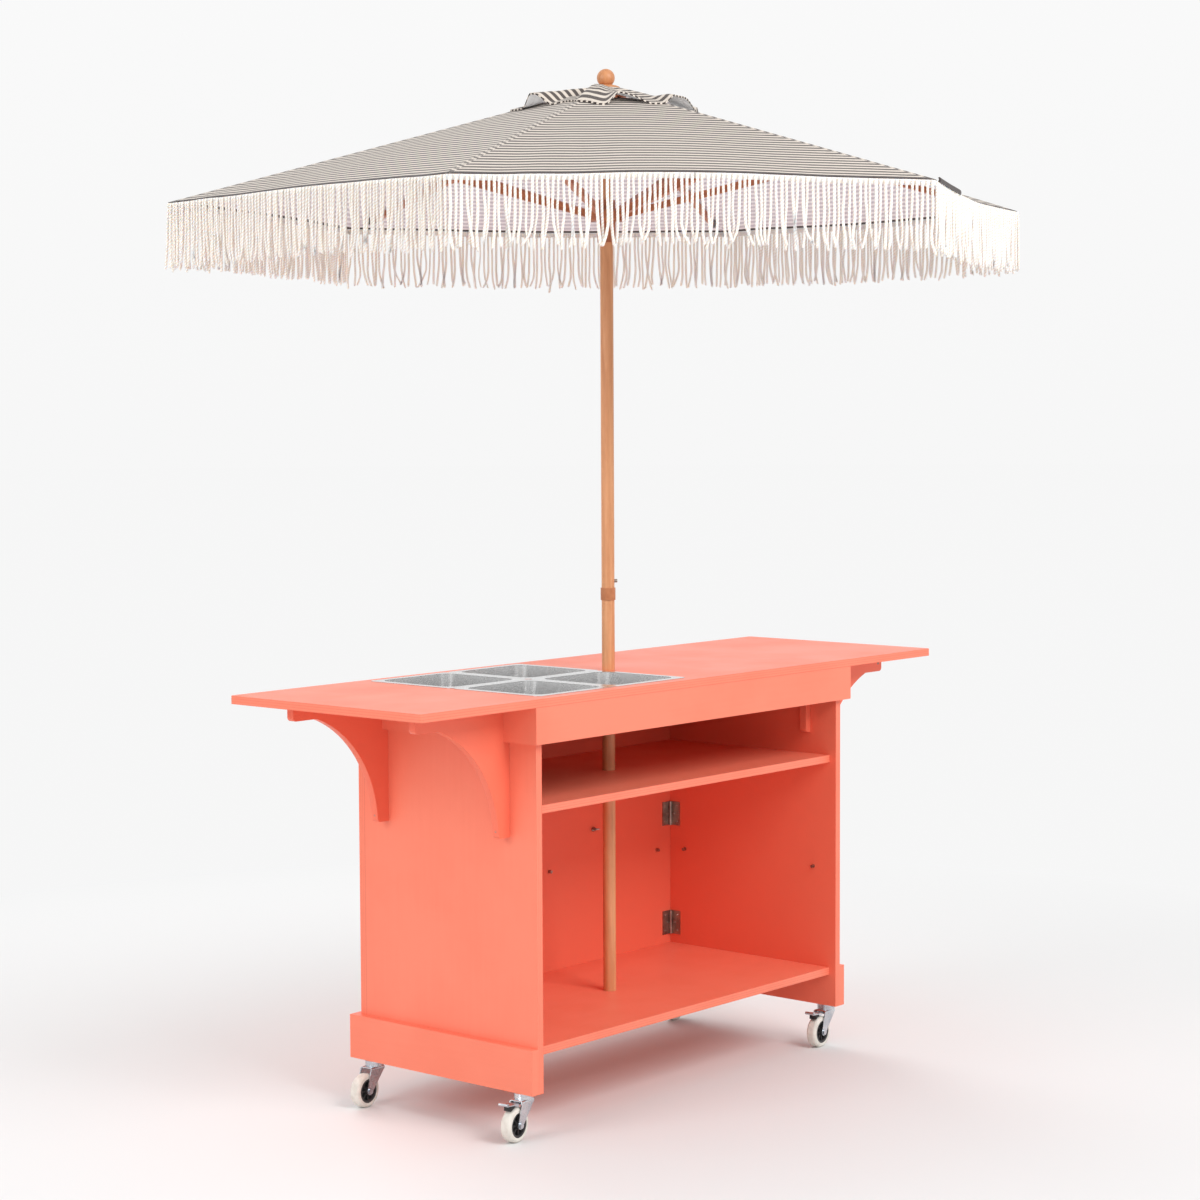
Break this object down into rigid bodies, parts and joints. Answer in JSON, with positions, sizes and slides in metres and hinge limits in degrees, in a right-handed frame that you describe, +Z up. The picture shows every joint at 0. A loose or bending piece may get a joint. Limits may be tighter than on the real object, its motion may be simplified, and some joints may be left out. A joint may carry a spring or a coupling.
{
  "type": "food display cart",
  "caption": "Rolling plywood bar cart with open shelves, drop-in pans, wing worktop and a folding fringed parasol on a wooden pole.",
  "frame": {"origin": "on the floor under the parasol pole, at the middle of the cabinet", "axes": "+X to the right seen from the open front, +Y to the back, +Z up"},
  "size_m": [1.837, 1.9656, 2.324],
  "materials": {
    "coral_ply": "matt coral paint",
    "pole_wood": "oiled hardwood",
    "canopy_cloth": "woven dark grey and cream stripes",
    "fringe_cotton": "twisted cream cotton",
    "stainless": "satin stainless",
    "zinc": "bright zinc plate",
    "dull_steel": "dull steel",
    "ferrule": "brown",
    "black_plastic": "moulded",
    "tyre": "pale grey"
  },
  "bodies": {
    "cart": {"back_panel": "coral_ply", "left_side_panel": "coral_ply", "right_side_panel": "coral_ply", "bottom_deck": "coral_ply", "middle_shelf": "coral_ply", "worktop": "coral_ply", "front_apron": "coral_ply", "back_apron": "coral_ply", "side_aprons": "coral_ply", "plinths": "coral_ply", "wing_brackets": "coral_ply", "butt_hinges": "dull_steel", "shelf_pegs": "dull_steel", "wing_screws": "dull_steel", "caster_stems": "zinc"},
    "front_left_caster": {"front_left_fork": "zinc"},
    "front_left_wheel": {"front_left_hub": "black_plastic", "front_left_tyre": "tyre"},
    "front_left_brake": {"front_left_brake_pedal": "zinc"},
    "front_right_caster": {"front_right_fork": "zinc"},
    "front_right_wheel": {"front_right_hub": "black_plastic", "front_right_tyre": "tyre"},
    "front_right_brake": {"front_right_brake_pedal": "zinc"},
    "back_left_caster": {"back_left_fork": "zinc"},
    "back_left_wheel": {"back_left_hub": "black_plastic", "back_left_tyre": "tyre"},
    "back_right_caster": {"back_right_fork": "zinc"},
    "back_right_wheel": {"back_right_hub": "black_plastic", "back_right_tyre": "tyre"},
    "pan_front_left": {"pan_front_left": "stainless"},
    "pan_front_right": {"pan_front_right": "stainless"},
    "pan_back_left": {"pan_back_left": "stainless"},
    "pan_back_right": {"pan_back_right": "stainless"},
    "lower_pole": {"lower_pole": "pole_wood", "pole_ferrule": "ferrule"},
    "upper_pole": {"upper_pole": "pole_wood", "finial": "pole_wood", "top_hub": "pole_wood", "canopy": "canopy_cloth", "vent_cap": "canopy_cloth"},
    "lock_button": {"lock_button": "zinc"},
    "rib_1": {"rib_1": "pole_wood"},
    "rib_2": {"rib_2": "pole_wood"},
    "rib_3": {"rib_3": "pole_wood"},
    "rib_4": {"rib_4": "pole_wood"},
    "rib_5": {"rib_5": "pole_wood"},
    "rib_6": {"rib_6": "pole_wood"},
    "strut_1": {"strut_1": "pole_wood"},
    "fringe_1": {"fringe_1": "fringe_cotton"},
    "strut_2": {"strut_2": "pole_wood"},
    "fringe_2": {"fringe_2": "fringe_cotton"},
    "strut_3": {"strut_3": "pole_wood"},
    "fringe_3": {"fringe_3": "fringe_cotton"},
    "strut_4": {"strut_4": "pole_wood"},
    "fringe_4": {"fringe_4": "fringe_cotton"},
    "strut_5": {"strut_5": "pole_wood"},
    "fringe_5": {"fringe_5": "fringe_cotton"},
    "strut_6": {"strut_6": "pole_wood"},
    "fringe_6": {"fringe_6": "fringe_cotton"},
    "runner": {"runner": "pole_wood"}
  },
  "joints": [
    {"name": "front_left_swivel", "type": "hinge", "parent": "cart", "child": "front_left_caster", "pos_m": [-0.55, -0.225, 0.09], "axis": [0, 0, 1], "continuous": true},
    {"name": "front_left_spin", "type": "hinge", "parent": "front_left_caster", "child": "front_left_wheel", "pos_m": [-0.58474, -0.22926, 0.0375], "axis": [0.1219, -0.9925, 0], "continuous": true},
    {"name": "front_left_brake_press", "type": "hinge", "parent": "front_left_caster", "child": "front_left_brake", "pos_m": [-0.5639, -0.22671, 0.0805], "axis": [0.1219, -0.9925, 0], "range_deg": [0, 6]},
    {"name": "front_right_swivel", "type": "hinge", "parent": "cart", "child": "front_right_caster", "pos_m": [0.55, -0.225, 0.09], "axis": [0, 0, 1], "continuous": true},
    {"name": "front_right_spin", "type": "hinge", "parent": "front_right_caster", "child": "front_right_wheel", "pos_m": [0.51509, -0.22744, 0.0375], "axis": [0.0698, -0.9976, 0], "continuous": true},
    {"name": "front_right_brake_press", "type": "hinge", "parent": "front_right_caster", "child": "front_right_brake", "pos_m": [0.53603, -0.22598, 0.0805], "axis": [0.0698, -0.9976, 0], "range_deg": [0, 6]},
    {"name": "back_left_swivel", "type": "hinge", "parent": "cart", "child": "back_left_caster", "pos_m": [-0.55, 0.225, 0.09], "axis": [0, 0, 1], "continuous": true},
    {"name": "back_left_spin", "type": "hinge", "parent": "back_left_caster", "child": "back_left_wheel", "pos_m": [-0.58491, 0.22256, 0.0375], "axis": [0.0698, -0.9976, 0], "continuous": true},
    {"name": "back_right_swivel", "type": "hinge", "parent": "cart", "child": "back_right_caster", "pos_m": [0.55, 0.225, 0.09], "axis": [0, 0, 1], "continuous": true},
    {"name": "back_right_spin", "type": "hinge", "parent": "back_right_caster", "child": "back_right_wheel", "pos_m": [0.515, 0.225, 0.0375], "axis": [0, -1, 0], "continuous": true},
    {"name": "pan_front_left_lift", "type": "slide", "parent": "cart", "child": "pan_front_left", "axis": [0, 0, 1], "range_m": [0, 0.15]},
    {"name": "pan_front_right_lift", "type": "slide", "parent": "cart", "child": "pan_front_right", "axis": [0, 0, 1], "range_m": [0, 0.15]},
    {"name": "pan_back_left_lift", "type": "slide", "parent": "cart", "child": "pan_back_left", "axis": [0, 0, 1], "range_m": [0, 0.15]},
    {"name": "pan_back_right_lift", "type": "slide", "parent": "cart", "child": "pan_back_right", "axis": [0, 0, 1], "range_m": [0, 0.15]},
    {"name": "parasol_lift", "type": "slide", "parent": "cart", "child": "lower_pole", "axis": [0, 0, 1], "range_m": [0, 0.76]},
    {"name": "parasol_turn", "type": "hinge", "parent": "lower_pole", "child": "upper_pole", "pos_m": [0, 0, 1.1243], "axis": [0, 0, 1], "continuous": true},
    {"name": "lock_button_press", "type": "slide", "parent": "upper_pole", "child": "lock_button", "axis": [-0.6494, 0.7604, 0], "range_m": [0, 0.005], "stiffness_N_per_m": 400},
    {"name": "parasol_fold", "type": "hinge", "parent": "upper_pole", "child": "rib_1", "pos_m": [0.03148, 0.01285, 2.248], "axis": [-0.3778, 0.9259, 0], "range_deg": [0, 65.5], "deforming": ["canopy", "vent_cap", "fringe_1", "fringe_2", "fringe_3", "fringe_4", "fringe_5", "fringe_6"]},
    {"name": "rib_2_fold", "type": "hinge", "parent": "upper_pole", "child": "rib_2", "pos_m": [0.00461, 0.03368, 2.248], "axis": [-0.9907, 0.1357, 0], "range_deg": [0, 65.55]},
    {"name": "rib_3_fold", "type": "hinge", "parent": "upper_pole", "child": "rib_3", "pos_m": [-0.02686, 0.02084, 2.248], "axis": [-0.6129, -0.7902, 0], "range_deg": [0, 65.55]},
    {"name": "rib_4_fold", "type": "hinge", "parent": "upper_pole", "child": "rib_4", "pos_m": [-0.03148, -0.01285, 2.248], "axis": [0.3778, -0.9259, 0], "range_deg": [0, 65.55]},
    {"name": "rib_5_fold", "type": "hinge", "parent": "upper_pole", "child": "rib_5", "pos_m": [-0.00461, -0.03368, 2.248], "axis": [0.9907, -0.1357, 0], "range_deg": [0, 65.55]},
    {"name": "rib_6_fold", "type": "hinge", "parent": "upper_pole", "child": "rib_6", "pos_m": [0.02686, -0.02084, 2.248], "axis": [0.6129, 0.7902, 0], "range_deg": [0, 65.55]},
    {"name": "strut_1_fold", "type": "hinge", "parent": "rib_1", "child": "strut_1", "pos_m": [0.48863, 0.19941, 2.12031], "axis": [-0.3778, 0.9259, 0], "range_deg": [-131.05, 0]},
    {"name": "fringe_1_hang", "type": "hinge", "parent": "rib_1", "child": "fringe_1", "pos_m": [0.91846, 0.37482, 2.0082], "axis": [-0.3778, 0.9259, 0], "range_deg": [-65.55, 0]},
    {"name": "strut_2_fold", "type": "hinge", "parent": "rib_2", "child": "strut_2", "pos_m": [0.07162, 0.52287, 2.12031], "axis": [-0.9907, 0.1357, 0], "range_deg": [-131.05, 0]},
    {"name": "fringe_2_hang", "type": "hinge", "parent": "rib_2", "child": "fringe_2", "pos_m": [0.13463, 0.98282, 2.0082], "axis": [-0.9907, 0.1357, 0], "range_deg": [-65.55, 0]},
    {"name": "strut_3_fold", "type": "hinge", "parent": "rib_3", "child": "strut_3", "pos_m": [-0.41701, 0.32347, 2.12031], "axis": [-0.6129, -0.7902, 0], "range_deg": [-131.05, 0]},
    {"name": "fringe_3_hang", "type": "hinge", "parent": "rib_3", "child": "fringe_3", "pos_m": [-0.78383, 0.608, 2.0082], "axis": [-0.6129, -0.7902, 0], "range_deg": [-65.55, 0]},
    {"name": "strut_4_fold", "type": "hinge", "parent": "rib_4", "child": "strut_4", "pos_m": [-0.48863, -0.19941, 2.12031], "axis": [0.3778, -0.9259, 0], "range_deg": [-131.05, 0]},
    {"name": "fringe_4_hang", "type": "hinge", "parent": "rib_4", "child": "fringe_4", "pos_m": [-0.91846, -0.37482, 2.0082], "axis": [0.3778, -0.9259, 0], "range_deg": [-65.55, 0]},
    {"name": "strut_5_fold", "type": "hinge", "parent": "rib_5", "child": "strut_5", "pos_m": [-0.07162, -0.52287, 2.12031], "axis": [0.9907, -0.1357, 0], "range_deg": [-131.05, 0]},
    {"name": "fringe_5_hang", "type": "hinge", "parent": "rib_5", "child": "fringe_5", "pos_m": [-0.13463, -0.98282, 2.0082], "axis": [0.9907, -0.1357, 0], "range_deg": [-65.55, 0]},
    {"name": "strut_6_fold", "type": "hinge", "parent": "rib_6", "child": "strut_6", "pos_m": [0.41701, -0.32347, 2.12031], "axis": [0.6129, 0.7902, 0], "range_deg": [-131.05, 0]},
    {"name": "fringe_6_hang", "type": "hinge", "parent": "rib_6", "child": "fringe_6", "pos_m": [0.78383, -0.608, 2.0082], "axis": [0.6129, 0.7902, 0], "range_deg": [-65.55, 0]},
    {"name": "runner_slide", "type": "slide", "parent": "upper_pole", "child": "runner", "axis": [0, 0, -1], "range_m": [0, 0.74962]}
  ],
  "couplings": [
    {"joint": "rib_2_fold", "follows": "parasol_fold", "ratio": 1},
    {"joint": "rib_3_fold", "follows": "parasol_fold", "ratio": 1},
    {"joint": "rib_4_fold", "follows": "parasol_fold", "ratio": 1},
    {"joint": "rib_5_fold", "follows": "parasol_fold", "ratio": 1},
    {"joint": "rib_6_fold", "follows": "parasol_fold", "ratio": 1},
    {"joint": "strut_1_fold", "follows": "parasol_fold", "ratio": -2},
    {"joint": "fringe_1_hang", "follows": "parasol_fold", "ratio": -1},
    {"joint": "strut_2_fold", "follows": "parasol_fold", "ratio": -2},
    {"joint": "fringe_2_hang", "follows": "parasol_fold", "ratio": -1},
    {"joint": "strut_3_fold", "follows": "parasol_fold", "ratio": -2},
    {"joint": "fringe_3_hang", "follows": "parasol_fold", "ratio": -1},
    {"joint": "strut_4_fold", "follows": "parasol_fold", "ratio": -2},
    {"joint": "fringe_4_hang", "follows": "parasol_fold", "ratio": -1},
    {"joint": "strut_5_fold", "follows": "parasol_fold", "ratio": -2},
    {"joint": "fringe_5_hang", "follows": "parasol_fold", "ratio": -1},
    {"joint": "strut_6_fold", "follows": "parasol_fold", "ratio": -2},
    {"joint": "fringe_6_hang", "follows": "parasol_fold", "ratio": -1},
    {"joint": "runner_slide", "follows": "parasol_fold", "m_per_rad": 0.65529}
  ]
}
